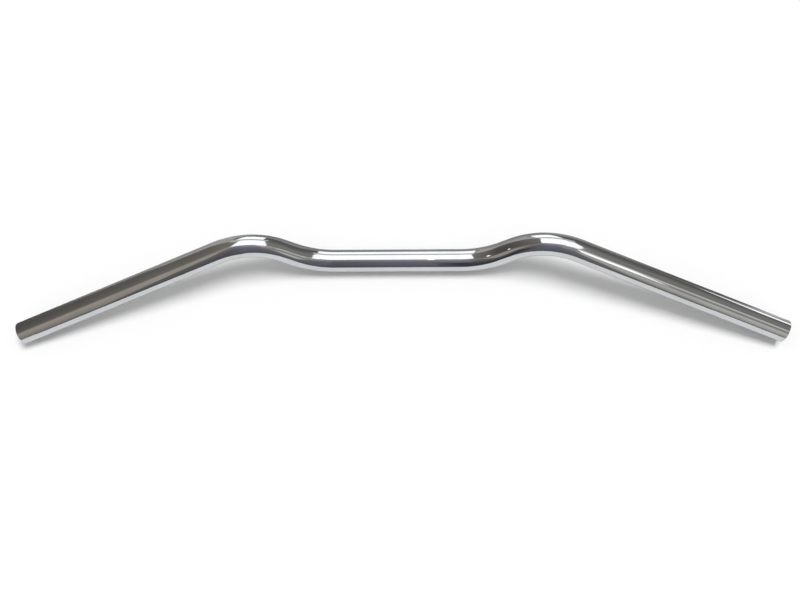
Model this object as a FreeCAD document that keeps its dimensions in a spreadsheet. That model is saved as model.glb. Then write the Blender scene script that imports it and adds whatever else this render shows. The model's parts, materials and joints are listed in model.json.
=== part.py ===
import FreeCAD, Part
import math
import os

import Sketcher
from FreeCAD import Vector

# A bicycle handlebar: one steel tube, bent twice on each side of a straight middle.
#
# The frame is the bar lying on a table. The origin is in the middle of the stretch that the
# stem clamps, on the tube's axis. +X runs along that stretch, +Z is up, and the grips sweep
# back towards -Y. The bar touches the table along the clamped stretch and at its two rims.

NODE = "handlebar_tube"

# Driving dimensions, in millimetres and degrees.
DIMENSIONS = [
    ("tube_diameter", "22.2", "outside diameter, the same from end to end"),
    ("wall_thickness", "1.6", "thickness of the steel"),
    ("clamp_length", "124", "straight middle stretch, where the stem clamps"),
    ("bend_radius", "74", "radius of every bend, to the tube's axis"),
    ("inner_bend", "34", "turn from the clamped stretch up into the riser"),
    ("riser_length", "12", "straight tube between the two bends of one side"),
    ("plane_twist", "158.5", "turn about the tube's axis from the inner bend's plane to the outer's"),
    ("outer_bend", "50.5", "turn from the riser down and back into the grip"),
    ("grip_length", "213", "straight tube from the outer bend to the open end"),
    ("rim_round", "0.6", "radius of the rounded outer edge at each open end"),
    ("bore_break", "0.3", "chamfer on the inner edge at each open end"),
]

# How the bar lies: it is turned about the clamped stretch until the rims reach the table.
# "Along" is measured in the inner bend's plane, towards the bend's centre, and "across" is
# square to that plane. Both are taken from the axis of the clamped stretch.
RESTING_POSE = [
    (
        "grip_along",
        "=sin(inner_bend) * cos(outer_bend) + cos(inner_bend) * cos(plane_twist) * sin(outer_bend)",
        "share of the grip's length that runs along the inner bend's plane",
    ),
    (
        "grip_across",
        "=sin(plane_twist) * sin(outer_bend)",
        "share of the grip's length that runs across that plane",
    ),
    (
        "riser_end_along",
        "=bend_radius * (1 - cos(inner_bend)) + riser_length * sin(inner_bend)",
        "end of the riser",
    ),
    (
        "outer_bend_along",
        "=bend_radius * (sin(outer_bend) * sin(inner_bend)"
        " + (1 - cos(outer_bend)) * cos(inner_bend) * cos(plane_twist))",
        "travel of the outer bend",
    ),
    (
        "outer_bend_across",
        "=bend_radius * (1 - cos(outer_bend)) * sin(plane_twist)",
        "travel of the outer bend",
    ),
    (
        "end_along",
        "=riser_end_along + outer_bend_along + grip_length * grip_along",
        "centre of the open end",
    ),
    (
        "end_across",
        "=outer_bend_across + grip_length * grip_across",
        "centre of the open end",
    ),
    (
        "level_tilt",
        "=atan2(end_across; -end_along)",
        "tilt that brings the ends level with the clamped stretch",
    ),
    (
        "end_dip",
        "=grip_along * sin(level_tilt) + grip_across * cos(level_tilt)",
        "slope of the grips at that tilt, below zero where they run down",
    ),
    (
        "rim_lift",
        "=(tube_diameter / 2 - rim_round) * (1 - sqrt(1 - end_dip ^ 2)) - rim_round * end_dip",
        "height by which the rounded, sloping rims then clear the table",
    ),
    (
        "rest_tilt",
        "=level_tilt + asin(rim_lift / hypot(end_along; end_across))",
        "tilt of the inner bend's plane at which the rims touch the table",
    ),
]

BORE_RADIUS = "sizes.tube_diameter / 2 - sizes.wall_thickness"
VOLUME_TOLERANCE = 1e-6

doc = FreeCAD.newDocument("handlebar")
sizes = doc.addObject("Spreadsheet::Sheet", "sizes")
for row, (alias, content, meaning) in enumerate(DIMENSIONS + RESTING_POSE, start=1):
    sizes.set(f"A{row}", alias)
    sizes.set(f"B{row}", content)
    sizes.set(f"C{row}", meaning)
    sizes.setAlias(f"B{row}", alias)
doc.recompute()

body = doc.addObject("PartDesign::Body", "handlebar")
body.Label = NODE
origin_plane = {feature.Role: feature for feature in body.Origin.OriginFeatures}


def size(alias):
    """The value of one cell, for the first drawing of a sketch that the cell then drives."""
    return float(getattr(sizes, alias))


def placed_sketch(name, placement):
    """A sketch of the bar whose own axes are placed by an expression."""
    sketch = body.newObject("Sketcher::SketchObject", name)
    sketch.AttachmentSupport = [(origin_plane["XY_Plane"], "")]
    sketch.MapMode = "FlatFace"
    sketch.setExpression("AttachmentOffset", placement)
    return sketch


def drive(sketch, constraint, name, expression):
    """Add a dimension to a sketch and tie it to the sheet."""
    index = sketch.addConstraint(constraint)
    sketch.renameConstraint(index, name)
    sketch.setExpression(f"Constraints.{name}", expression)


def tube_section(name, placement):
    """The ring that is the tube's cross-section, centred on its sketch."""
    sketch = placed_sketch(name, placement)
    outer_radius = size("tube_diameter") / 2
    walls = [
        ("outside", outer_radius, "sizes.tube_diameter / 2"),
        ("bore", outer_radius - size("wall_thickness"), BORE_RADIUS),
    ]
    for wall, radius, expression in walls:
        circle = sketch.addGeometry(Part.Circle(Vector(), Vector(0, 0, 1), radius), False)
        sketch.addConstraint(Sketcher.Constraint("Coincident", circle, 3, -1, 1))
        drive(sketch, Sketcher.Constraint("Radius", circle, radius), wall, expression)
    return sketch


def bend_path(name, placement, turn, straight):
    """The axis of one bend and the straight tube after it, leaving along its sketch's X axis."""
    sketch = placed_sketch(name, placement)
    radius = size("bend_radius")
    angle = math.radians(size(turn))
    length = size(straight)
    circle = Part.Circle(Vector(0, radius, 0), Vector(0, 0, 1), radius)
    bend_end = Vector(radius * math.sin(angle), radius * (1 - math.cos(angle)), 0)
    heading = Vector(math.cos(angle), math.sin(angle), 0)
    bend = sketch.addGeometry(Part.ArcOfCircle(circle, -math.pi / 2, angle - math.pi / 2), False)
    run = sketch.addGeometry(Part.LineSegment(bend_end, bend_end + heading * length), False)
    sketch.addConstraint(Sketcher.Constraint("Coincident", bend, 1, -1, 1))
    sketch.addConstraint(Sketcher.Constraint("PointOnObject", bend, 3, -2))
    sketch.addConstraint(Sketcher.Constraint("Tangent", bend, 2, run, 1))
    drive(sketch, Sketcher.Constraint("Radius", bend, radius), "radius", "sizes.bend_radius")
    drive(sketch, Sketcher.Constraint("Angle", -1, 1, run, 1, angle), "turn", f"sizes.{turn}")
    drive(sketch, Sketcher.Constraint("Distance", run, length), "straight", f"sizes.{straight}")
    return sketch


def bent_run(name, placement, turn, straight):
    """One bend and its straight, as tube swept along the path. Returns the feature and the path."""
    path = bend_path(f"{name}_path", placement, turn, straight)
    facing_along = "placement(vector(0; 0; 0); rotation(vector(0; 1; 0); 90))"
    section = tube_section(f"{name}_section", f"{path.Name}.Placement * {facing_along}")
    doc.recompute()
    run = body.newObject("PartDesign::AdditivePipe", f"{name}_run")
    run.Profile = section
    run.Spine = (path, ["Edge1", "Edge2"])
    doc.recompute()
    return run, path


def end_of(path, turn, straight, twist):
    """Where a path ends, with X along the tube and the next bend's plane turned by the twist."""
    past_bend = (
        f"placement(vector(sizes.bend_radius * sin(sizes.{turn});"
        f" sizes.bend_radius * (1 - cos(sizes.{turn})); 0);"
        f" rotation(vector(0; 0; 1); sizes.{turn}))"
    )
    past_straight = (
        f"placement(vector(sizes.{straight}; 0; 0); rotation(vector(1; 0; 0); sizes.{twist}))"
    )
    return f"{path.Name}.Placement * {past_bend} * {past_straight}"


def rim_edges(shape, wire_index):
    """Names of the outer (0) or inner (1) edges of the flat ring at each open end."""
    rings = [face for face in shape.Faces if isinstance(face.Surface, Part.Plane)]
    rims = [
        edge
        for ring in rings
        for edge in sorted(ring.Wires, key=lambda wire: -wire.Length)[wire_index].Edges
    ]
    return [
        f"Edge{number}"
        for number, edge in enumerate(shape.Edges, start=1)
        if any(edge.isSame(rim) for rim in rims)
    ]


# The straight middle stretch that the stem clamps.
clamp_section = tube_section(
    "clamp_section",
    "placement(vector(0; 0; 0); rotation(vector(0; 1; 0); 90))",
)
clamp_seat = body.newObject("PartDesign::Pad", "clamp_seat")
clamp_seat.Profile = clamp_section
clamp_seat.SideType = "Symmetric"
clamp_seat.setExpression("Length", "sizes.clamp_length")
doc.recompute()

# The inner bend lifts the tube off the table, and the riser carries it on.
inner_run, inner_path = bent_run(
    "inner",
    "placement(vector(sizes.clamp_length / 2; 0; 0); rotation(vector(1; 0; 0); sizes.rest_tilt))",
    "inner_bend",
    "riser_length",
)

# The outer bend lies in a plane of its own: it turns the tube down and back at once.
outer_run, outer_path = bent_run(
    "outer",
    end_of(inner_path, "inner_bend", "riser_length", "plane_twist"),
    "outer_bend",
    "grip_length",
)

# The other side is the mirror image.
other_side = body.newObject("PartDesign::Mirrored", "other_side")
other_side.Originals = [inner_run, outer_run]
other_side.MirrorPlane = (origin_plane["YZ_Plane"], [""])
body.Tip = other_side
doc.recompute()

# The sawn ends: a rounded outer edge, and a small break at the bore.
rim_round = body.newObject("PartDesign::Fillet", "rim_round_edges")
rim_round.Base = (other_side, rim_edges(other_side.Shape, 0))
rim_round.setExpression("Radius", "sizes.rim_round")
doc.recompute()
bore_break = body.newObject("PartDesign::Chamfer", "bore_break_edges")
bore_break.Base = (rim_round, rim_edges(rim_round.Shape, 1))
bore_break.setExpression("Size", "sizes.bore_break")
body.Tip = bore_break
doc.recompute()

for item in doc.Objects:
    if "Invalid" in item.State or "Error" in item.State:
        raise RuntimeError(f"{item.Name} did not build: {item.State}")
if body.Shape.isNull() or not body.Shape.isValid() or len(body.Shape.Solids) != 1:
    raise RuntimeError(f"{NODE} is not one valid solid")

# A bent tube holds as much steel as a straight one of the same length along its axis.
bends_length = size("bend_radius") * math.radians(size("inner_bend") + size("outer_bend"))
axis_length = size("clamp_length") + 2 * (bends_length + size("riser_length") + size("grip_length"))
steel_area = math.pi * size("wall_thickness") * (size("tube_diameter") - size("wall_thickness"))
steel_volume = steel_area * axis_length
if abs(other_side.Shape.Volume - steel_volume) > VOLUME_TOLERANCE * steel_volume:
    raise RuntimeError(f"the tube holds {other_side.Shape.Volume} mm3, not {steel_volume} mm3")

os.makedirs("parts", exist_ok=True)
body.Shape.exportStep(f"parts/{body.Label}.step")
box = body.Shape.optimalBoundingBox(False, False)
print(f"{NODE}: {box.XLength:.1f} x {box.YLength:.1f} x {box.ZLength:.1f} mm,", end=" ")
print(f"{axis_length:.1f} mm along the axis, tilt {size('rest_tilt'):.3f} degrees")
print(f"lowest point {box.ZMin:.3f} mm, {body.Shape.Volume:.0f} mm3 of steel")
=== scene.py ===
# %% [markdown]
# # A chrome bicycle handlebar
#
# The real bar is one steel tube, 0.8 m long, that is bent twice on each side, polished and
# chrome plated. This notebook dresses its CAD model. Geometry Nodes shape the tube, two
# materials give it a plated skin and a raw bore, and a plain studio lights it on a pale floor.
# Lengths are in metres, in the CAD model's own frame, where +X runs along the middle of the
# bar, +Z is up and the grips sweep back towards -Y.

# %% Load the CAD frame
import json
import math

import bpy
from mathutils import Matrix, Vector


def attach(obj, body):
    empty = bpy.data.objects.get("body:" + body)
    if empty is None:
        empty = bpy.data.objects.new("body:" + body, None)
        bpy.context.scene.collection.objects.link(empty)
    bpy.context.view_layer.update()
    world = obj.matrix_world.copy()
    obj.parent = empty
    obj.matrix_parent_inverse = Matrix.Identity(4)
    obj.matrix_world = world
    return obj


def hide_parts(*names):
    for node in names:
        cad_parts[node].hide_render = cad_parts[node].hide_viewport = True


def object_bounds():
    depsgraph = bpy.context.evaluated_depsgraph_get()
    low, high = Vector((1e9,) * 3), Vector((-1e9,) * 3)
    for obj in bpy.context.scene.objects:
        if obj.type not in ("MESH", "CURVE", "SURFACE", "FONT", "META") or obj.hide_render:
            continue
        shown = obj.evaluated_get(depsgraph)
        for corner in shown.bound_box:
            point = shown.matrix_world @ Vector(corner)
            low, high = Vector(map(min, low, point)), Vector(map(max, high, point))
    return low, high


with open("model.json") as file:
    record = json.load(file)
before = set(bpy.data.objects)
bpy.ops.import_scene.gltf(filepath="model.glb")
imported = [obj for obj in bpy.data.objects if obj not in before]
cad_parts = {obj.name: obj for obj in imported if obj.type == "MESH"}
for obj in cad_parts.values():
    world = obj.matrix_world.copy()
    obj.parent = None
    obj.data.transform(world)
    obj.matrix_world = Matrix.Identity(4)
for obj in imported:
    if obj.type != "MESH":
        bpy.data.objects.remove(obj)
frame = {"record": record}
cad_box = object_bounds()

MILLIMETRE = 0.001
mounts = {mount["name"]: mount for mount in frame["record"]["mounts"]}
tube_radius = mounts["stem_clamp"]["dims"]["r_mm"] * MILLIMETRE
bore_radius = mounts["right_end_bore"]["dims"]["r_mm"] * MILLIMETRE
outside_mm = 2 * tube_radius / MILLIMETRE
inside_mm = 2 * bore_radius / MILLIMETRE
print(f"tube {outside_mm:.1f} mm outside, {inside_mm:.1f} mm inside")

# %% [markdown]
# ## The camera
#
# The picture looks steeply down on the bar from above the grips, a little from the right, with
# the camera rolled by a few degrees. These angles put the bar's two ends, its two humps and
# its shadow where the picture has them. The lens is set by its focal length in pixels, because
# that is what such a match gives: Blender wants millimetres on a sensor of a given width.

# %% Turn the camera
CAMERA_PLACE = Vector((0.0335, -0.2563, 0.8442))
CAMERA_YAW = math.radians(-8.246)
CAMERA_PITCH = math.radians(75.519)
CAMERA_ROLL = math.radians(-8.214)

ahead = Vector((
    math.sin(CAMERA_YAW) * math.cos(CAMERA_PITCH),
    math.cos(CAMERA_YAW) * math.cos(CAMERA_PITCH),
    -math.sin(CAMERA_PITCH),
))
level = Vector((math.cos(CAMERA_YAW), -math.sin(CAMERA_YAW), 0))
upright = level.cross(ahead)
right = level * math.cos(CAMERA_ROLL) + upright * math.sin(CAMERA_ROLL)
up = upright * math.cos(CAMERA_ROLL) - level * math.sin(CAMERA_ROLL)
print("the camera looks along", [round(value, 3) for value in ahead])

# %% Make the camera
IMAGE_WIDTH = 800
FOCAL_PIXELS = 884.9
SENSOR_WIDTH = 36.0

lens = bpy.data.cameras.new("camera")
lens.sensor_fit = "HORIZONTAL"
lens.sensor_width = SENSOR_WIDTH
lens.lens = SENSOR_WIDTH * FOCAL_PIXELS / IMAGE_WIDTH
camera = bpy.data.objects.new("camera", lens)
turn = Matrix((right, up, -ahead)).transposed()
camera.matrix_world = Matrix.Translation(CAMERA_PLACE) @ turn.to_4x4()
bpy.context.scene.collection.objects.link(camera)
bpy.context.scene.camera = camera
print(f"lens {lens.lens:.2f} mm, {CAMERA_PLACE.length:.2f} m from the middle of the bar")

# %% [markdown]
# ## The axis of the tube
#
# A bent tube is a line with a radius, so the line comes first. The CAD model's mounts say where
# its straight stretches are: the clamped middle and the two grips. All four bends have one
# radius, because one former bends them. The frame doesn't hold that radius or the rims' rounding,
# so they are repeated here. With the radius, the two sharp corners of a side follow: each
# straight runs on past its end by the bend's tangent length, which depends on the turn, which
# depends on the corners. A few rounds of that settle them.

# %% Find the corners of the axis
BEND_RADIUS = 0.074
RIM_ROUND = 0.0006
CORNER_ROUNDS = 40
ALONG = Vector((1, 0, 0))


def straight_of(name):
    """Start, end and direction of the straight stretch that a mount lies on."""
    mount = mounts[name]
    middle = Vector(mount["pos_m"])
    axis = Vector(mount["axis"]).normalized()
    half = axis * (mount["dims"]["length_mm"] * MILLIMETRE / 2)
    return middle - half, middle + half, axis


def bend_corners(clamp_end, grip_start, grip_axis):
    """The two points where one side's straights would meet if its bends were sharp."""
    inner_tangent = 0.0
    outer_tangent = 0.0
    for _ in range(CORNER_ROUNDS):
        inner = clamp_end + ALONG * inner_tangent
        outer = grip_start - grip_axis * outer_tangent
        riser = outer - inner
        inner_tangent = BEND_RADIUS * math.tan(ALONG.angle(riser) / 2)
        outer_tangent = BEND_RADIUS * math.tan(riser.angle(grip_axis) / 2)
    return inner, outer


clamp_end = straight_of("stem_clamp")[1]
grip_start, grip_end, grip_axis = straight_of("right_grip_seat")
inner_corner, outer_corner = bend_corners(clamp_end, grip_start, grip_axis)
open_end = grip_end + grip_axis * RIM_ROUND
right_side = [inner_corner, outer_corner, open_end]
left_side = [Vector((-point.x, point.y, point.z)) for point in reversed(right_side)]
axis_points = left_side + right_side
for point in right_side:
    print("corner of the axis at", [round(value, 4) for value in point])

# %% Draw the axis as a curve
axis_curve = bpy.data.curves.new("tube_axis", "CURVE")
axis_curve.dimensions = "3D"
axis_line = axis_curve.splines.new("POLY")
axis_line.points.add(len(axis_points) - 1)
for spot, point in zip(axis_line.points, axis_points):
    spot.co = (*point, 1)
axis_object = bpy.data.objects.new("tube_axis", axis_curve)
bpy.context.scene.collection.objects.link(axis_object)
print(len(axis_points), "points on the axis before its corners are rounded")

# %% [markdown]
# ## Effects that both finishes share
#
# The plated skin and the raw bore are both metal that was drawn, rubbed and handled, so they
# share three effects: a grain stretched along or round the tube, soft cloudy patches, and thin
# scratches. Each is a shader node group, built once and given its own sizes in each material.
# All three read one position as if the tube had never been bent, so the marks follow its bends.

# %% Helpers that add nodes and groups
def put(tree, kind, inputs=None, **options):
    """Add a node, set its options, and set each input to a value or link it to an output."""
    node = tree.nodes.new(kind)
    for name, value in options.items():
        setattr(node, name, value)
    for name, value in (inputs or {}).items():
        if isinstance(value, bpy.types.NodeSocket):
            tree.links.new(value, node.inputs[name])
        else:
            node.inputs[name].default_value = value
    return node


def maths(tree, operation, *values):
    """The output of a Math node on one, two or three values."""
    return put(tree, "ShaderNodeMath", dict(enumerate(values)), operation=operation).outputs[0]


def new_group(name, kind, sockets):
    """An empty node group with these sockets, and its input and output nodes."""
    tree = bpy.data.node_groups.new(name, kind)
    for in_out, socket_kind, socket in sockets:
        tree.interface.new_socket(socket, in_out=in_out, socket_type="NodeSocket" + socket_kind)
    return tree, tree.nodes.new("NodeGroupInput").outputs, tree.nodes.new("NodeGroupOutput").inputs


# %% Grain stretched along the tube or round it
def stretched_grain():
    """Streaks with their own count per metre along the tube and across it."""
    tree, given, made = new_group("stretched_grain", "ShaderNodeTree", [
        ("INPUT", "Vector", "Place"),
        ("INPUT", "Float", "Along"),
        ("INPUT", "Float", "Across"),
        ("OUTPUT", "Float", "Grain"),
    ])
    counts = put(tree, "ShaderNodeCombineXYZ", {
        "X": given["Along"],
        "Y": given["Across"],
        "Z": given["Across"],
    })
    stretched = put(tree, "ShaderNodeVectorMath", {
        0: given["Place"],
        1: counts.outputs[0],
    }, operation="MULTIPLY")
    noise = put(tree, "ShaderNodeTexNoise", {
        "Vector": stretched.outputs[0],
        "Scale": 1.0,
        "Detail": 3.0,
        "Roughness": 0.6,
    })
    tree.links.new(noise.outputs[0], made["Grain"])
    return tree


grain_group = stretched_grain()
print("node group", grain_group.name)


# %% Soft cloudy patches
def soft_clouds():
    """Patches of about one size, from 0 where the surface is clear to 1 in a patch."""
    tree, given, made = new_group("soft_clouds", "ShaderNodeTree", [
        ("INPUT", "Vector", "Place"),
        ("INPUT", "Float", "Size"),
        ("OUTPUT", "Float", "Cloud"),
    ])
    noise = put(tree, "ShaderNodeTexNoise", {
        "Vector": given["Place"],
        "Scale": maths(tree, "DIVIDE", 1.0, given["Size"]),
        "Detail": 2.0,
        "Roughness": 0.5,
    })
    patch = put(tree, "ShaderNodeMapRange", {
        "Value": noise.outputs[0],
        "From Min": 0.3,
        "From Max": 0.7,
    }, interpolation_type="SMOOTHSTEP")
    tree.links.new(patch.outputs[0], made["Cloud"])
    return tree


cloud_group = soft_clouds()
print("node group", cloud_group.name)

# %% Thin scratches
LINE_WIDTH = 0.006
NOISE_MIDDLE = 0.5
PATCHES_PER_LENGTH = 2.0


def hairline_scratches():
    """Sparse thin lines of about one length: 1 on a line, 0 elsewhere."""
    tree, given, made = new_group("hairline_scratches", "ShaderNodeTree", [
        ("INPUT", "Vector", "Place"),
        ("INPUT", "Float", "Length"),
        ("INPUT", "Float", "Spacing"),
        ("INPUT", "Float", "Share"),
        ("OUTPUT", "Float", "Scratch"),
    ])
    grain = put(tree, "ShaderNodeGroup", {
        "Place": given["Place"],
        "Along": maths(tree, "DIVIDE", 1.0, given["Length"]),
        "Across": maths(tree, "DIVIDE", 1.0, given["Spacing"]),
    }, node_tree=grain_group)
    off_middle = maths(tree, "SUBTRACT", grain.outputs[0], NOISE_MIDDLE)
    line = put(tree, "ShaderNodeMapRange", {
        "Value": maths(tree, "ABSOLUTE", off_middle),
        "From Min": LINE_WIDTH,
        "From Max": 0.0,
    })
    patch = put(tree, "ShaderNodeTexNoise", {
        "Vector": given["Place"],
        "Scale": maths(tree, "DIVIDE", PATCHES_PER_LENGTH, given["Length"]),
        "Detail": 1.0,
    })
    chosen = maths(tree, "LESS_THAN", patch.outputs[0], given["Share"])
    tree.links.new(maths(tree, "MULTIPLY", line.outputs[0], chosen), made["Scratch"])
    return tree


scratch_group = hairline_scratches()
print("node group", scratch_group.name)

# %% [markdown]
# ## The chrome plating
#
# Bright chrome is nearly a mirror: what it shows is the room. It could be a plain metal shader
# with no roughness, but that looks like a drawing of chrome. The real skin has the faint ripple
# of the polished steel under it, lines from the polishing belt that run round the tube, a haze
# where hands have been and a few hairline scratches. Haze and scratches change its colour, they
# and the lines its roughness, and ripple and scratches are a very shallow bump. A scratch's depth
# is a share of the ripple's height.

# %% Helpers that build a material
TUBE_PLACE = "straight_place"


def unbent_place(tree):
    """Where a point was on the tube before it was bent."""
    return put(tree, "ShaderNodeAttribute", attribute_name=TUBE_PLACE).outputs["Vector"]


def effect(tree, group, **inputs):
    """One of the shared effects, read at the place on the unbent tube."""
    values = {name.capitalize(): value for name, value in inputs.items()}
    values["Place"] = unbent_place(tree)
    return put(tree, "ShaderNodeGroup", values, node_tree=group).outputs[0]


def new_material(name):
    """A material with only its Principled shader, and that shader."""
    material = bpy.data.materials.new(name)
    material.use_nodes = True
    return material, material.node_tree, material.node_tree.nodes["Principled BSDF"]


def mixed(tree, factor, first, second):
    """The colour that lies between two colours or colour outputs."""
    return put(tree, "ShaderNodeMix", {
        "Factor": factor,
        "A": first,
        "B": second,
    }, data_type="RGBA").outputs["Result"]


def built_up(tree, base, *layers):
    """A base value plus each layer's mask times its amount."""
    total = base
    for mask, amount in layers:
        total = maths(tree, "MULTIPLY_ADD", mask, amount, total)
    return total


def bumped(tree, height, distance):
    """The normal of a surface with this height at this scale."""
    return put(tree, "ShaderNodeBump", {
        "Strength": 1.0,
        "Distance": distance,
        "Height": height,
    }).outputs[0]


# %% Make the chrome
CLEAN_CHROME = (0.585, 0.605, 0.62, 1)
HAZY_CHROME = (0.55, 0.56, 0.57, 1)
SCRATCHED_CHROME = (0.42, 0.42, 0.43, 1)
CHROME_ROUGHNESS = 0.03
HAZE_ROUGHNESS = 0.035
BELT_ROUGHNESS = 0.03
SCRATCH_ROUGHNESS = 0.15
RIPPLE_HEIGHT = 0.000003
SCRATCH_DEPTH = 0.4


def chrome_plate():
    """Polished plating with ripple, polishing lines, haze and hairline scratches."""
    material, tree, shader = new_material("chrome_plate")
    haze = effect(tree, cloud_group, size=0.035)
    lines = effect(tree, grain_group, along=1800.0, across=40.0)
    scratches = effect(tree, scratch_group, length=0.03, spacing=0.0012, share=0.42)
    ripple = effect(tree, cloud_group, size=0.02)
    hazy = mixed(tree, haze, CLEAN_CHROME, HAZY_CHROME)
    scratched = mixed(tree, scratches, hazy, SCRATCHED_CHROME)
    rough = built_up(
        tree,
        CHROME_ROUGHNESS,
        (haze, HAZE_ROUGHNESS),
        (lines, BELT_ROUGHNESS),
        (scratches, SCRATCH_ROUGHNESS),
    )
    height = built_up(tree, ripple, (scratches, -SCRATCH_DEPTH))
    shader.inputs["Metallic"].default_value = 1.0
    tree.links.new(scratched, shader.inputs["Base Color"])
    tree.links.new(rough, shader.inputs["Roughness"])
    tree.links.new(bumped(tree, height, RIPPLE_HEIGHT), shader.inputs["Normal"])
    return material


chrome = chrome_plate()
print("material", chrome.name)

# %% [markdown]
# ## The raw bore
#
# Plating hardly reaches into a tube. A short way in from each rim it thins out, and behind that
# the bore is drawn steel: grey, dull, lined along its length, with a little brown oxide and the
# flat bead of the weld that closed the strip into a tube. The depth from the rim blends plating
# into steel, and all but the weld comes from the shared effects at other sizes. Oxide scatters
# light as paint does, so the shader takes the bare steel as less than a third metal. A full metal
# would mostly mirror the bore further in, where little light reaches. The bead's height counts in
# heights of the drawn lines.

# %% Measure the tube along its axis
corner_turns = [
    (after - here).angle(here - before)
    for before, here, after in zip(axis_points, axis_points[1:], axis_points[2:])
]
corner_path = sum((after - here).length for here, after in zip(axis_points, axis_points[1:]))
cut_off = sum(BEND_RADIUS * (2 * math.tan(angle / 2) - angle) for angle in corner_turns)
axis_length = corner_path - cut_off
print(f"the tube is {axis_length / MILLIMETRE:.1f} mm long")

# %% Find the depth and the weld in the bore
PLATED_DEPTH = 0.003
BARE_DEPTH = 0.018
WELD_WIDTH = 0.0016


def bore_masks(tree):
    """How bare of plating a place in the bore is, and how high the weld bead is there."""
    part = put(tree, "ShaderNodeSeparateXYZ", {0: unbent_place(tree)}).outputs
    depth = maths(tree, "SUBTRACT", axis_length / 2, maths(tree, "ABSOLUTE", part["X"]))
    bare = put(tree, "ShaderNodeMapRange", {
        "Value": depth,
        "From Min": PLATED_DEPTH,
        "From Max": BARE_DEPTH,
    }, interpolation_type="SMOOTHSTEP").outputs[0]
    from_weld = maths(tree, "DIVIDE", maths(tree, "ABSOLUTE", part["Z"]), WELD_WIDTH)
    bead = maths(tree, "SUBTRACT", 1.0, maths(tree, "MINIMUM", from_weld, 1.0))
    one_side = maths(tree, "LESS_THAN", part["Y"], 0.0)
    return bare, maths(tree, "MULTIPLY", bead, one_side)


print(f"plating thins out {BARE_DEPTH / MILLIMETRE:.0f} mm into the bore")

# %% Make the bore
THIN_PLATING = (0.60, 0.60, 0.605, 1)
DARK_STEEL = (0.42, 0.41, 0.40, 1)
PALE_STEEL = (0.60, 0.59, 0.58, 1)
OXIDE = (0.26, 0.20, 0.155, 1)
SCRATCHED_STEEL = (0.66, 0.65, 0.64, 1)
PLATING_METAL = 0.8
STEEL_METAL = 0.3
PLATING_ROUGHNESS = 0.3
STEEL_ROUGHNESS = 0.15
DRAWN_ROUGHNESS = 0.2
OXIDE_ROUGHNESS = 0.15
OXIDE_COVER = 0.7
WELD_HEIGHT = 20.0
LINE_HEIGHT = 0.00001


def raw_bore():
    """Drawn steel with lines, oxide and a weld bead, thinly plated next to each rim."""
    material, tree, shader = new_material("raw_bore")
    bare, bead = bore_masks(tree)
    lines = effect(tree, grain_group, along=12.0, across=2400.0)
    oxide = effect(tree, cloud_group, size=0.008)
    scratches = effect(tree, scratch_group, length=0.05, spacing=0.001, share=0.5)
    steel = mixed(tree, lines, DARK_STEEL, PALE_STEEL)
    steel = mixed(tree, maths(tree, "MULTIPLY", oxide, OXIDE_COVER), steel, OXIDE)
    steel = mixed(tree, scratches, steel, SCRATCHED_STEEL)
    drawn = (lines, DRAWN_ROUGHNESS)
    bare_rough = built_up(tree, STEEL_ROUGHNESS, drawn, (oxide, OXIDE_ROUGHNESS))
    rough = maths(tree, "MULTIPLY_ADD", bare, bare_rough, PLATING_ROUGHNESS)
    metal = built_up(tree, PLATING_METAL, (bare, STEEL_METAL - PLATING_METAL))
    height = built_up(tree, lines, (bead, WELD_HEIGHT))
    tree.links.new(mixed(tree, bare, THIN_PLATING, steel), shader.inputs["Base Color"])
    tree.links.new(metal, shader.inputs["Metallic"])
    tree.links.new(rough, shader.inputs["Roughness"])
    tree.links.new(bumped(tree, height, LINE_HEIGHT), shader.inputs["Normal"])
    return material


bore = raw_bore()
print("material", bore.name)

# %% [markdown]
# ## The tube
#
# The real bar is a straight tube that is cut to length, eased at its rims and then bent. The
# node tree does the same, in that order. Sweeping a ring along the axis would be shorter, but
# it leaves the rims to be closed by hand. Here the wall's own outline, a thin rectangle with
# rounded outer corners, is turned round a straight axis, which gives a closed tube with its rims
# on. Each point keeps its place on that straight tube as an attribute, for the marks in the
# materials, and only then moves to its place on the bent axis.

# %% Start the tube's node tree
TUBE_SOCKETS = [
    ("INPUT", "Geometry", "Axis"),
    ("INPUT", "Float", "Tube Radius"),
    ("INPUT", "Float", "Bore Radius"),
    ("INPUT", "Float", "Bend Radius"),
    ("INPUT", "Float", "Rim Round"),
    ("INPUT", "Float", "Bore Break"),
    ("INPUT", "Float", "Ring Spacing"),
    ("INPUT", "Int", "Points Around"),
    ("INPUT", "Material", "Skin"),
    ("INPUT", "Material", "Inside"),
    ("OUTPUT", "Geometry", "Tube"),
]
tube_tree, sizes, tube_out = new_group("bent_tube", "GeometryNodeTree", TUBE_SOCKETS)


def tube_node(kind, inputs=None, **options):
    """Add a node to the tube's tree and give its outputs."""
    return put(tube_tree, kind, inputs, **options).outputs


def tube_maths(operation, *values):
    """The output of a Math node in the tube's tree."""
    return maths(tube_tree, operation, *values)


print("the tree has", len(TUBE_SOCKETS) - 1, "inputs")

# %% Round the axis
BEND_STEPS = 64

rounded_axis = tube_node("GeometryNodeFilletCurve", {
    "Curve": sizes["Axis"],
    "Count": BEND_STEPS,
    "Radius": sizes["Bend Radius"],
    "Limit Radius": False,
}, mode="POLY")[0]
length = tube_node("GeometryNodeCurveLength", {"Curve": rounded_axis})[0]
half_length = tube_maths("DIVIDE", length, 2.0)
print("the axis gets", BEND_STEPS, "steps in each bend")

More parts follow.
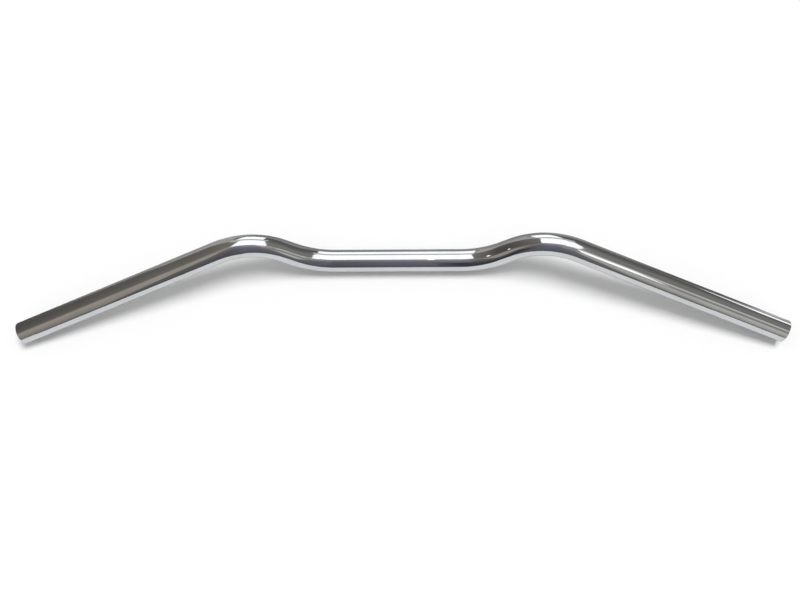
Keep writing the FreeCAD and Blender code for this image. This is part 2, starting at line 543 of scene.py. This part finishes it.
# %% Draw the outline of the wall
wall = tube_maths("SUBTRACT", sizes["Tube Radius"], sizes["Bore Radius"])
strip = tube_node("GeometryNodeCurvePrimitiveQuadrilateral", {
    "Width": length,
    "Height": wall,
})[0]
number = tube_node("GeometryNodeInputIndex")[0]
long_side = tube_maths("SUBTRACT", 1.0, tube_maths("MODULO", number, 2.0))
rings = tube_maths("DIVIDE", length, sizes["Ring Spacing"])
cut_strip = tube_node("GeometryNodeSubdivideCurve", {
    "Curve": strip,
    "Cuts": tube_maths("MULTIPLY", rings, long_side),
})[0]
print("the outline's long sides are cut, and its short sides stay whole")

# %% Round the outline's outer corners and break its inner ones
RIM_STEPS = 6
CORNER_REACH = 1e-5

position = tube_node("GeometryNodeInputPosition")[0]
strip_place = tube_node("ShaderNodeSeparateXYZ", {0: position})
from_middle = tube_maths("ABSOLUTE", strip_place["X"])
past_end = tube_maths("SUBTRACT", from_middle, half_length)
at_end = tube_maths("GREATER_THAN", past_end, -CORNER_REACH)
outside = tube_maths("GREATER_THAN", strip_place["Y"], 0.0)
inside = tube_maths("SUBTRACT", 1.0, outside)


def ease_corners(outline, side, radius, steps):
    """Round the corners of the wall's outline on one side, or break them with a single step."""
    corner = tube_maths("MULTIPLY", at_end, side)
    return tube_node("GeometryNodeFilletCurve", {
        "Curve": outline,
        "Count": steps,
        "Radius": tube_maths("MULTIPLY", corner, radius),
        "Limit Radius": False,
    }, mode="POLY")[0]


outline = ease_corners(cut_strip, outside, sizes["Rim Round"], RIM_STEPS)
outline = ease_corners(outline, inside, sizes["Bore Break"], 1)
print("each rim is rounded in", RIM_STEPS, "steps")


# %% Turn the outline into a straight tube
def remember(geometry, kind, name, value):
    """Keep a value on the points of a geometry, for use after it has changed."""
    node = put(tube_tree, "GeometryNodeCaptureAttribute")
    node.capture_items.new(kind, name)
    tube_tree.links.new(geometry, node.inputs["Geometry"])
    tube_tree.links.new(value, node.inputs[name])
    return node.outputs["Geometry"], node.outputs[name]


outline, at_length = remember(outline, "FLOAT", "Along", strip_place["X"])
outline, off_middle = remember(outline, "FLOAT", "Off Middle", strip_place["Y"])
ring = tube_node("GeometryNodeCurvePrimitiveCircle", {
    "Resolution": sizes["Points Around"],
    "Radius": sizes["Tube Radius"],
})["Curve"]
ring_share = tube_maths("DIVIDE", number, sizes["Points Around"])
ring, angle = remember(ring, "FLOAT", "Angle", tube_maths("MULTIPLY", ring_share, math.tau))
swept = tube_node("GeometryNodeCurveToMesh", {
    "Curve": ring,
    "Profile Curve": outline,
})[0]
print("the outline is swept round a ring")

# %% Keep each point's place on the straight tube
middle_radius = tube_maths("MULTIPLY_ADD", wall, -0.5, sizes["Tube Radius"])
from_axis = tube_maths("ADD", off_middle, middle_radius)
tube_across = tube_maths("MULTIPLY", from_axis, tube_maths("COSINE", angle))
tube_up = tube_maths("MULTIPLY", from_axis, tube_maths("SINE", angle))
marked = tube_node("GeometryNodeStoreNamedAttribute", {
    "Geometry": swept,
    "Name": TUBE_PLACE,
    "Value": tube_node("ShaderNodeCombineXYZ", {
        "X": at_length,
        "Y": tube_across,
        "Z": tube_up,
    })[0],
}, data_type="FLOAT_VECTOR", domain="POINT")[0]
print("the straight tube keeps its places as", TUBE_PLACE)


# %% Bend the tube along its axis
def vector_maths(operation, **values):
    """The output of a Vector Math node, with its inputs named first, second and scale."""
    inputs = {"first": 0, "second": 1, "scale": "Scale"}
    named = {inputs[name]: value for name, value in values.items()}
    return tube_node("ShaderNodeVectorMath", named, operation=operation)[0]


sample = tube_node("GeometryNodeSampleCurve", {
    "Curves": rounded_axis,
    "Length": tube_maths("ADD", at_length, half_length),
}, mode="LENGTH")
sideways = vector_maths("CROSS_PRODUCT", first=sample["Tangent"], second=sample["Normal"])
across_axis = vector_maths("SCALE", first=sample["Normal"], scale=tube_across)
up_axis = vector_maths("SCALE", first=sideways, scale=tube_up)
off_axis = vector_maths("ADD", first=across_axis, second=up_axis)
bent = tube_node("GeometryNodeSetPosition", {
    "Geometry": marked,
    "Position": vector_maths("ADD", first=sample["Position"], second=off_axis),
})[0]
print("the tube follows the normals of the axis, which turn as little as they can")

# %% Shade the tube and give it its two materials
SHARP_ANGLE = math.radians(30)

smooth = tube_node("GeometryNodeSetShadeSmooth", {"Geometry": bent})[0]
edge_angle = tube_node("GeometryNodeInputMeshEdgeAngle")["Unsigned Angle"]
creased = tube_node("GeometryNodeSetShadeSmooth", {
    "Geometry": smooth,
    "Selection": tube_maths("GREATER_THAN", edge_angle, SHARP_ANGLE),
    "Shade Smooth": False,
}, domain="EDGE")[0]
real = tube_node("GeometryNodeRealizeInstances", {"Geometry": creased})[0]
plated = tube_node("GeometryNodeSetMaterial", {
    "Geometry": real,
    "Material": sizes["Skin"],
})[0]
off_bore = tube_maths("SUBTRACT", from_axis, sizes["Bore Radius"])
lined = tube_node("GeometryNodeSetMaterial", {
    "Geometry": plated,
    "Selection": tube_maths("LESS_THAN", off_bore, CORNER_REACH),
    "Material": sizes["Inside"],
})[0]
tube_tree.links.new(lined, tube_out["Tube"])
print("the tree has", len(tube_tree.nodes), "nodes")

# %% [markdown]
# ## From the tree to a plain mesh
#
# The tree hangs on the axis curve as a modifier. Its inputs are set by their identifiers, and
# the evaluated result is copied into a mesh of its own, which stays as it is when the curve and
# its modifier go. That mesh is the part: it rides on the CAD body and stands for the CAD tube.

# %% Set the tube's sizes
BORE_BREAK = 0.0003
RING_SPACING = 0.0025
POINTS_AROUND = 96

tube_sizes = {
    "Tube Radius": tube_radius,
    "Bore Radius": bore_radius,
    "Bend Radius": BEND_RADIUS,
    "Rim Round": RIM_ROUND,
    "Bore Break": BORE_BREAK,
    "Ring Spacing": RING_SPACING,
    "Points Around": POINTS_AROUND,
    "Skin": chrome,
    "Inside": bore,
}
bender = axis_object.modifiers.new("bent_tube", "NODES")
bender.node_group = tube_tree
for item in tube_tree.interface.items_tree:
    if item.name in tube_sizes:
        bender[item.identifier] = tube_sizes[item.name]
print(f"a ring of {POINTS_AROUND} points every {RING_SPACING / MILLIMETRE:.1f} mm")

# %% Make the handlebar
depsgraph = bpy.context.evaluated_depsgraph_get()
bent_axis = axis_object.evaluated_get(depsgraph)
handlebar_mesh = bpy.data.meshes.new_from_object(bent_axis, depsgraph=depsgraph)
handlebar_mesh.name = "handlebar"
handlebar = bpy.data.objects.new("handlebar", handlebar_mesh)
bpy.context.scene.collection.objects.link(handlebar)
bpy.data.objects.remove(axis_object)

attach(handlebar, "root")
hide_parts("handlebar_tube")
finishes = [material.name for material in handlebar_mesh.materials]
print(len(handlebar_mesh.polygons), "faces in", finishes)

# %% [markdown]
# ## The floor
#
# The bar lies on a white table that runs out of the picture on all sides. The white could come
# from strong lamps on a grey table, but then everything else would be too bright as well. So the
# table is a matt square whose own colour is nearly white, under lamps at a plain level. It comes
# out white by itself, and the bar's soft shadow stays on it.

# %% Make the floor
FLOOR_SIZE = 12.0
FLOOR_COLOUR = (0.98, 0.98, 0.98, 1)
FLOOR_ROUGHNESS = 0.9


def pale_floor():
    """A matt white that keeps shadows."""
    material, _, shader = new_material("pale_floor")
    shader.inputs["Base Color"].default_value = FLOOR_COLOUR
    shader.inputs["Roughness"].default_value = FLOOR_ROUGHNESS
    shader.inputs["Specular IOR Level"].default_value = 0.0
    return material


def flat_piece(name, corners, material):
    """A flat stage piece with these corners."""
    mesh = bpy.data.meshes.new(name)
    mesh.from_pydata(corners, [], [tuple(range(len(corners)))])
    mesh.materials.append(material)
    piece = bpy.data.objects.new(name, mesh)
    bpy.context.scene.collection.objects.link(piece)
    return piece


def level_corners(height, left, right_edge, near, far):
    """The corners of a level rectangle that faces up."""
    return [
        (left, near, height),
        (right_edge, near, height),
        (right_edge, far, height),
        (left, far, height),
    ]


floor_height = cad_box[0].z
floor_reach = FLOOR_SIZE / 2
floor_corners = level_corners(floor_height, -floor_reach, floor_reach, -floor_reach, floor_reach)
flat_piece("floor", floor_corners, pale_floor())
print(f"floor at {floor_height / MILLIMETRE:.1f} mm")

# %% [markdown]
# ## The room that the chrome shows
#
# Chrome has no look of its own without a room around it. A picture of a room wrapped round the
# scene would do, but a photographer hangs cards instead, white where the metal should shine and
# dark where it should have depth, in a dim room, and so does this scene. Only mirror-like
# surfaces see these things. They don't show in the picture, and of their light the floor gets
# only what the chrome throws on it. Directions are given by two angles from the middle of the bar:
# how far beyond straight up, turning about the bar's own line, and how far to the right of that.

# %% Helpers for things that only mirrors see
def reflected_only(stage_piece):
    """Hide a stage piece from everything but mirror-like surfaces."""
    stage_piece.visible_camera = False
    stage_piece.visible_diffuse = False
    stage_piece.visible_shadow = False
    stage_piece.visible_transmission = False
    stage_piece.visible_volume_scatter = False


def new_glow(name):
    """A material that only gives off light, its tree and its Emission node's inputs."""
    material = bpy.data.materials.new(name)
    material.use_nodes = True
    tree = material.node_tree
    tree.nodes.remove(tree.nodes["Principled BSDF"])
    glow = put(tree, "ShaderNodeEmission")
    tree.links.new(glow.outputs[0], tree.nodes["Material Output"].inputs["Surface"])
    return material, tree, glow.inputs


def place_parts(tree):
    """The X, Y and Z of a place in the frame."""
    place = put(tree, "ShaderNodeTexCoord").outputs["Object"]
    return put(tree, "ShaderNodeSeparateXYZ", {0: place}).outputs


def ramp(tree, value, stops):
    """The colour at a value, from stops that each give a value and a colour."""
    low = stops[0][0]
    high = stops[-1][0]
    share = put(tree, "ShaderNodeMapRange", {
        "Value": value,
        "From Min": low,
        "From Max": high,
    }).outputs[0]
    node = put(tree, "ShaderNodeValToRGB", {"Fac": share})
    elements = node.color_ramp.elements
    elements[0].color = (*stops[0][1], 1)
    elements[1].color = (*stops[-1][1], 1)
    for stop, colour in stops[1:-1]:
        elements.new((stop - low) / (high - low)).color = (*colour, 1)
    return node.outputs["Color"]


# %% Paint the dim wall
WALL_RADIUS = 5.0
BAND_SLANT = 0.45
BAND_LIFT = -12.5
WARM_LEFT = [(-90, 0.2), (-60, 0.4), (-32, 0.42), (-15, 0.1), (90, 0.1)]
WARM_MIDDLE = [(-90, 0.22), (-60, 0.36), (-32, 0.44), (-16, 0.22), (90, 0.26)]
PALE_RIGHT = [
    (-95, 0.2),
    (-86, 0.5),
    (-56, 0.7),
    (-34, 0.24),
    (-18, 0.82),
    (-5, 0.25),
    (25, 0.28),
    (65, 0.14),
    (90, 0.17),
]
WALL_PARTS = [
    (-56, (1.12, 1.0, 0.92), WARM_LEFT),
    (-18, (1.12, 1.0, 0.87), WARM_MIDDLE),
    (18, (1.03, 1.0, 0.94), PALE_RIGHT),
]


def tinted(bands, tint):
    """Ramp stops for bands that each give an angle in degrees and a brightness."""
    return [(angle, [brightness * part for part in tint]) for angle, brightness in bands]


def dim_wall():
    """A wall with level bands that rise a little to both sides, warmer on the left."""
    material, tree, glow = new_glow("dim_wall")
    part = place_parts(tree)
    side_share = maths(tree, "DIVIDE", part["X"], WALL_RADIUS)
    side = maths(tree, "DEGREES", maths(tree, "ARCSINE", side_share))
    beyond = maths(tree, "DEGREES", maths(tree, "ARCTAN2", part["Y"], part["Z"]))
    rise = maths(tree, "MULTIPLY_ADD", maths(tree, "ABSOLUTE", side), BAND_SLANT, BAND_LIFT)
    band = maths(tree, "ADD", beyond, rise)
    parts = [(place, ramp(tree, band, tinted(bands, tint))) for place, tint, bands in WALL_PARTS]
    last_place, colour = parts[0]
    for place, part_colour in parts[1:]:
        share = put(tree, "ShaderNodeMapRange", {
            "Value": side,
            "From Min": last_place,
            "From Max": place,
        }).outputs[0]
        colour = mixed(tree, share, colour, part_colour)
        last_place = place
    tree.links.new(colour, glow["Color"])
    return material


bpy.ops.mesh.primitive_uv_sphere_add(segments=64, ring_count=32, radius=WALL_RADIUS)
wall_piece = bpy.context.object
wall_piece.name = "dim_wall"
wall_piece.data.materials.append(dim_wall())
reflected_only(wall_piece)
print("wall", WALL_RADIUS, "m from the bar")

# %% [markdown]
# ## The cards
#
# Most stripes on the bar are reflections of cards, so a stripe is shaped by shaping its card. The
# others are the wall's bands and the floor. White cards overhead, beyond the bar and to its right
# make the bright stripes, two grey ones far away make paler patches of the room, and dark ones in
# front give the band along the lower edge its depth. A grey screen keeps one white card off the
# left riser, where it would leave bright flecks. A lamp of a few millimetres makes the two sparks
# on the right riser, and a mat behind the bar shows along its upper edge. All of them could be
# painted on the wall, but a near card is seen at another angle from each part of the bar, and its
# stripe shifts along the bar as the picture's stripes do.

# %% Helpers that hang a card
FAR_AWAY = 4.5


def direction_to(right_degrees, far_degrees):
    """The direction this far beyond straight up, and this far to the right of that."""
    side = math.radians(right_degrees)
    beyond = math.radians(far_degrees)
    return Vector((
        math.sin(side),
        math.cos(side) * math.sin(beyond),
        math.cos(side) * math.cos(beyond),
    ))


def card(name, corners, material):
    """A card that only mirrors see."""
    reflected_only(flat_piece(name, corners, material))


def even_glow(name, colour, strength=1.0):
    """A material that glows evenly."""
    material, _, glow = new_glow(name)
    glow["Color"].default_value = (*colour, 1)
    glow["Strength"].default_value = strength
    return material


def far_card(name, angles, colour, strength=1.0):
    """A card far away, with its corners given by their angles to the right and beyond."""
    corners = [direction_to(*pair) * FAR_AWAY for pair in angles]
    card(name, corners, even_glow(name, colour, strength))


print("far cards hang", FAR_AWAY, "m away")

# %% Hang the white cards
WHITE = (1.0, 1.0, 1.0)
CARD_GLOW = 1.75
WHITE_CARDS = {
    "ceiling_card": level_corners(0.95, -0.225, 0.42, -0.175, 0.85),
    "lamp_card": level_corners(0.8, 0.31, 0.50, -0.55, -0.26),
    "far_window": [(-0.33, 1.7, 0.12), (0.22, 1.7, 0.10), (0.55, 1.7, 1.12), (-0.53, 1.7, 1.12)],
    "right_window": [
        (1.3, 0.81, 0.48),
        (1.5, 0.62, 0.40),
        (1.5, 0.75, 0.03),
        (1.3, 1.15, 0.14),
        (1.3, 1.15, 0.23),
    ],
}
CEILING_CORNER = [(14, -8), (19.7, -4), (26.1, 11), (28, 22), (22.3, 37), (14, 44)]

for name, corners in WHITE_CARDS.items():
    card(name, corners, even_glow(name, WHITE, CARD_GLOW))
far_card("ceiling_corner", CEILING_CORNER, WHITE, CARD_GLOW)
print(len(WHITE_CARDS) + 1, "white cards")

# %% Hang two grey cards far away
FAR_CEILING = [(-16, 37), (24, 37), (24, 58), (-16, 58)]
FAR_CEILING_COLOUR = (0.72, 0.72, 0.72)
LEFT_DOORWAY = [(-42, 74), (-35, 57), (-15, 47), (-15, 98), (-42, 98)]
LEFT_DOORWAY_COLOUR = (0.53, 0.51, 0.48)

far_card("far_ceiling", FAR_CEILING, FAR_CEILING_COLOUR)
far_card("left_doorway", LEFT_DOORWAY, LEFT_DOORWAY_COLOUR)
print("two grey cards")

# %% Screen the lamp card from the left riser
SCREEN_CORNERS = level_corners(0.45, 0.10, 0.235, -0.31, -0.14)
SCREEN_COLOUR = (0.39, 0.385, 0.385)

card("lamp_screen", SCREEN_CORNERS, even_glow("lamp_screen", SCREEN_COLOUR))
print("one grey screen")

# %% Hang a tiny warm lamp close to the bar
SPARK_PLACE = Vector((0.0327, -0.0135, 0.0827))
SPARK_SIZE = 0.006
SPARK_COLOUR = (1.0, 0.9, 0.75)
SPARK_GLOW = 5.0

half_spark = SPARK_SIZE / 2
spark_corners = level_corners(
    SPARK_PLACE.z,
    SPARK_PLACE.x - half_spark,
    SPARK_PLACE.x + half_spark,
    SPARK_PLACE.y - half_spark,
    SPARK_PLACE.y + half_spark,
)
card("spark_lamp", spark_corners, even_glow("spark_lamp", SPARK_COLOUR, SPARK_GLOW))
print("its sparks show on the right riser")

# %% Stand a dark card in front
FRONT_SHADES = [
    (0.0, (0.12, 0.12, 0.14)),
    (0.26, (0.15, 0.148, 0.17)),
    (0.50, (0.19, 0.185, 0.215)),
    (0.80, (0.40, 0.38, 0.415)),
]
FRONT_TINTS = [
    (-0.28, (1.2, 1.12, 0.92)),
    (-0.12, (0.86, 0.84, 0.84)),
    (-0.04, (1.1, 1.1, 1.16)),
    (0.05, (1.1, 1.08, 1.12)),
    (0.14, (1.4, 1.33, 1.22)),
]
FRONT_CORNERS = [
    (-0.34, -0.70, floor_height),
    (0.21, -0.70, floor_height),
    (0.17, -0.09, 0.87),
    (-0.20, -0.09, 0.87),
]


def front_shade():
    """Dark near the floor and paler above, warm at the sides and blue in the middle."""
    material, tree, glow = new_glow("front_card")
    part = place_parts(tree)
    colour = put(tree, "ShaderNodeVectorMath", {
        0: ramp(tree, part["Z"], FRONT_SHADES),
        1: ramp(tree, part["X"], FRONT_TINTS),
    }, operation="MULTIPLY")
    tree.links.new(colour.outputs[0], glow["Color"])
    return material


card("front_card", FRONT_CORNERS, front_shade())
print("one dark card leans in from the front")

# %% Stand two low boards in front of the grips
BOARD_COLOUR = (0.12, 0.12, 0.125)
BOARDS = {
    "left_board": ((-0.40, -0.44), (-0.12, -0.25), 0.03),
    "right_board": ((0.08, -0.52), (0.30, -0.64), 0.05),
}

for name, (left_foot, right_foot, top) in BOARDS.items():
    board_corners = [
        (*left_foot, floor_height),
        (*right_foot, floor_height),
        (*right_foot, top),
        (*left_foot, top),
    ]
    card(name, board_corners, even_glow(name, BOARD_COLOUR))
print(len(BOARDS), "low boards")

# %% Stand a small dark card close to the right riser
NEAR_SHADES = [(0.04, (0.13, 0.13, 0.15)), (0.07, (0.05, 0.045, 0.05))]
NEAR_CORNERS = [(0.04, -0.09, 0.02), (0.08, -0.09, 0.02), (0.08, -0.09, 0.1), (0.04, -0.09, 0.1)]


def near_shade():
    """Dark on the left, nearly black on the right."""
    material, tree, glow = new_glow("near_card")
    tree.links.new(ramp(tree, place_parts(tree)["X"], NEAR_SHADES), glow["Color"])
    return material


card("near_card", NEAR_CORNERS, near_shade())
print("one small dark card")

# %% Lay a dark mat behind the bar
BEHIND_BAR = 0.0135
ABOVE_FLOOR = 0.0005
MAT_REACH = 2.5
MAT_FAN = 1.7
MAT_SHADES = [
    (-0.39, (0.13, 0.125, 0.125)),
    (-0.33, (0.37, 0.36, 0.35)),
    (-0.21, (0.45, 0.44, 0.43)),
    (-0.17, (0.62, 0.61, 0.60)),
    (-0.11, (0.27, 0.27, 0.265)),
    (0.02, (0.42, 0.42, 0.42)),
    (0.10, (0.30, 0.30, 0.29)),
    (0.17, (0.42, 0.42, 0.42)),
    (0.25, (0.33, 0.31, 0.31)),
    (0.29, (0.17, 0.135, 0.14)),
    (0.37, (0.17, 0.15, 0.155)),
    (0.41, (0.75, 0.74, 0.75)),
    (0.45, (0.25, 0.25, 0.25)),
]


def mat_shade():
    """Light and dark patches from left to right, which widen away from the bar."""
    material, tree, glow = new_glow("dark_mat")
    part = place_parts(tree)
    widening = maths(tree, "MULTIPLY_ADD", part["Y"], MAT_FAN, 1.0)
    fanned = maths(tree, "DIVIDE", part["X"], widening)
    tree.links.new(ramp(tree, fanned, MAT_SHADES), glow["Color"])
    return material


near_edge = [(point.x, point.y + BEHIND_BAR) for point in axis_points]
far_edge = [(MAT_REACH, 0.0), (MAT_REACH, MAT_REACH), (-MAT_REACH, MAT_REACH), (-MAT_REACH, 0.0)]
mat_corners = [(x, y, floor_height + ABOVE_FLOOR) for x, y in near_edge + far_edge]
card("dark_mat", mat_corners, mat_shade())
print(f"the mat starts {BEHIND_BAR / MILLIMETRE:.1f} mm behind the axis")

# %% [markdown]
# ## The lamps
#
# The shadow in the picture is soft, dark near the tube, and falls towards the camera and a
# little to the left. A square lamp could cast it, but the table would be brighter under that
# lamp. A sun is as strong everywhere, and its angle sets how soft the shadow is, so a wide sun
# stands a little beyond the bar and to its right. A pale world fills the shadow. Together they
# light the table at about 1, so that colours come out as they are written. Mirrors don't see
# the sun, because the cards are there for them.

# %% Hang the sun
SUN_STRENGTH = 1.98
SUN_SPREAD = math.radians(25)
SUN_ANGLES = (12, 13)

sun_data = bpy.data.lights.new("soft_sun", "SUN")
sun_data.energy = SUN_STRENGTH
sun_data.angle = SUN_SPREAD
sun = bpy.data.objects.new("soft_sun", sun_data)
sun_direction = direction_to(*SUN_ANGLES)
sun.rotation_euler = sun_direction.to_track_quat("Z", "Y").to_euler()
sun.visible_camera = False
sun.visible_glossy = False
bpy.context.scene.collection.objects.link(sun)
sun_level = SUN_STRENGTH * sun_direction.z / math.pi
print(f"the sun lights the floor at {sun_level:.2f}")

# %% Fill the shadow from a pale world
WORLD_FILL = 0.44


def seen_by_mirrors(tree):
    """1 for rays from the camera and rays that a mirror or glass sends on, 0 for the rest."""
    path = put(tree, "ShaderNodeLightPath").outputs
    sent_on = maths(tree, "MAXIMUM", path["Is Glossy Ray"], path["Is Transmission Ray"])
    return maths(tree, "MAXIMUM", path["Is Camera Ray"], sent_on)


world = bpy.data.worlds.new("pale_world")
world.use_nodes = True
bpy.context.scene.world = world
world_tree = world.node_tree
background = world_tree.nodes["Background"]
background.inputs["Color"].default_value = (1, 1, 1, 1)
brightness = maths(world_tree, "MAXIMUM", seen_by_mirrors(world_tree), WORLD_FILL)
world_tree.links.new(brightness, background.inputs["Strength"])
print(f"with the fill, the floor is lit at {sun_level + WORLD_FILL:.2f}")

# %% [markdown]
# ## Finish
#
# The Standard view shows colours as they are written.

# %% Set the view
bpy.context.scene.view_settings.view_transform = "Standard"
